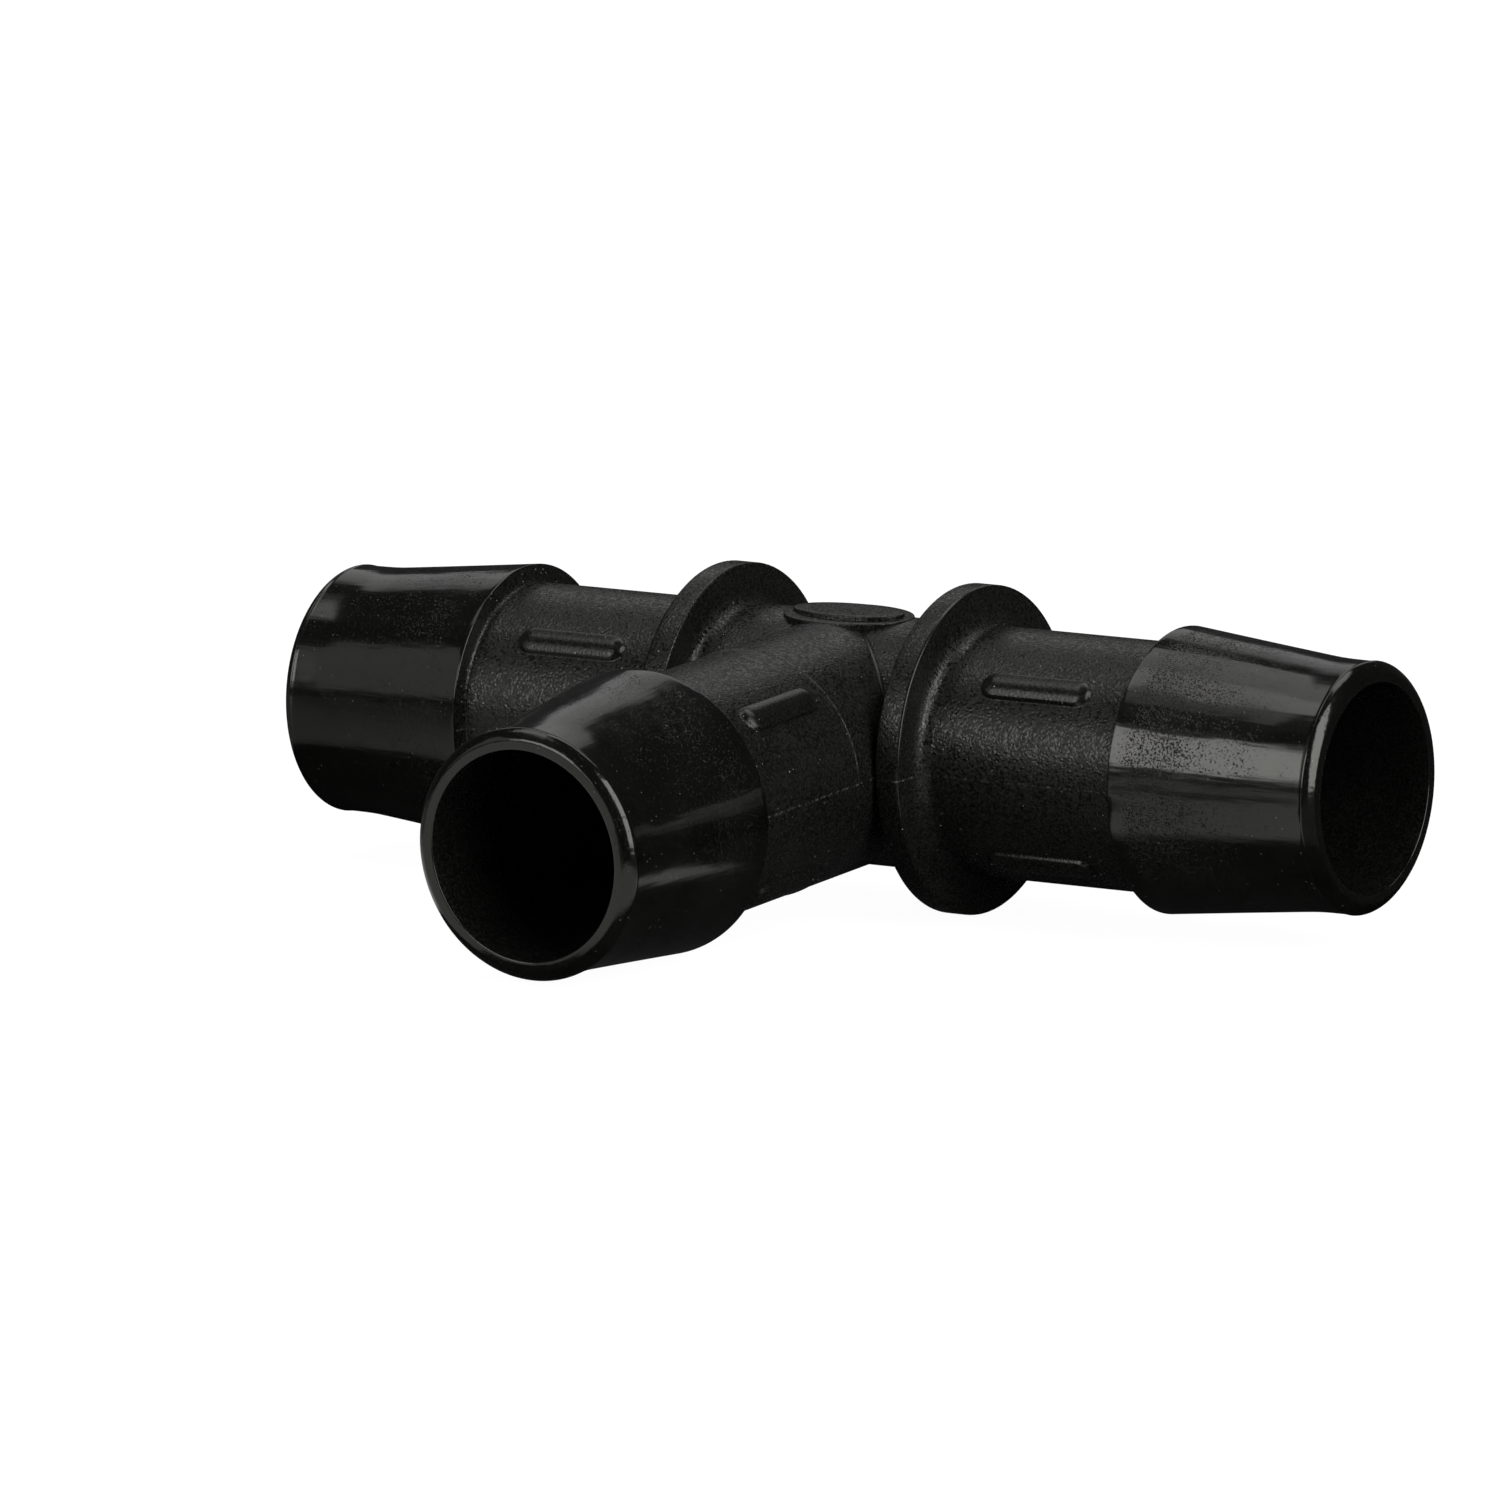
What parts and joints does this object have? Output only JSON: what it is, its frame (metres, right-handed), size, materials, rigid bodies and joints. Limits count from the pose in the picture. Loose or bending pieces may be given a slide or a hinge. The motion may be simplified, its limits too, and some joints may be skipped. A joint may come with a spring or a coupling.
{
  "type": "tee hose connector",
  "caption": "Black moulded tee that joins rubber hoses: a straight run with stop flanges and a barb at each end, and a barbed branch square to it.",
  "frame": {"origin": "point where the centre lines of the three bores meet", "axes": "+X along the straight run towards one barb, -Y along the branch towards its barb, +Z square to both, out of the crown that carries the oval pad"},
  "size_m": [0.092, 0.0586, 0.025],
  "materials": {
    "tee_body": "fine spark-textured body, necks and flanges, polished barbs"
  },
  "bodies": {
    "root": {"tee_body": "tee_body"}
  },
  "joints": []
}
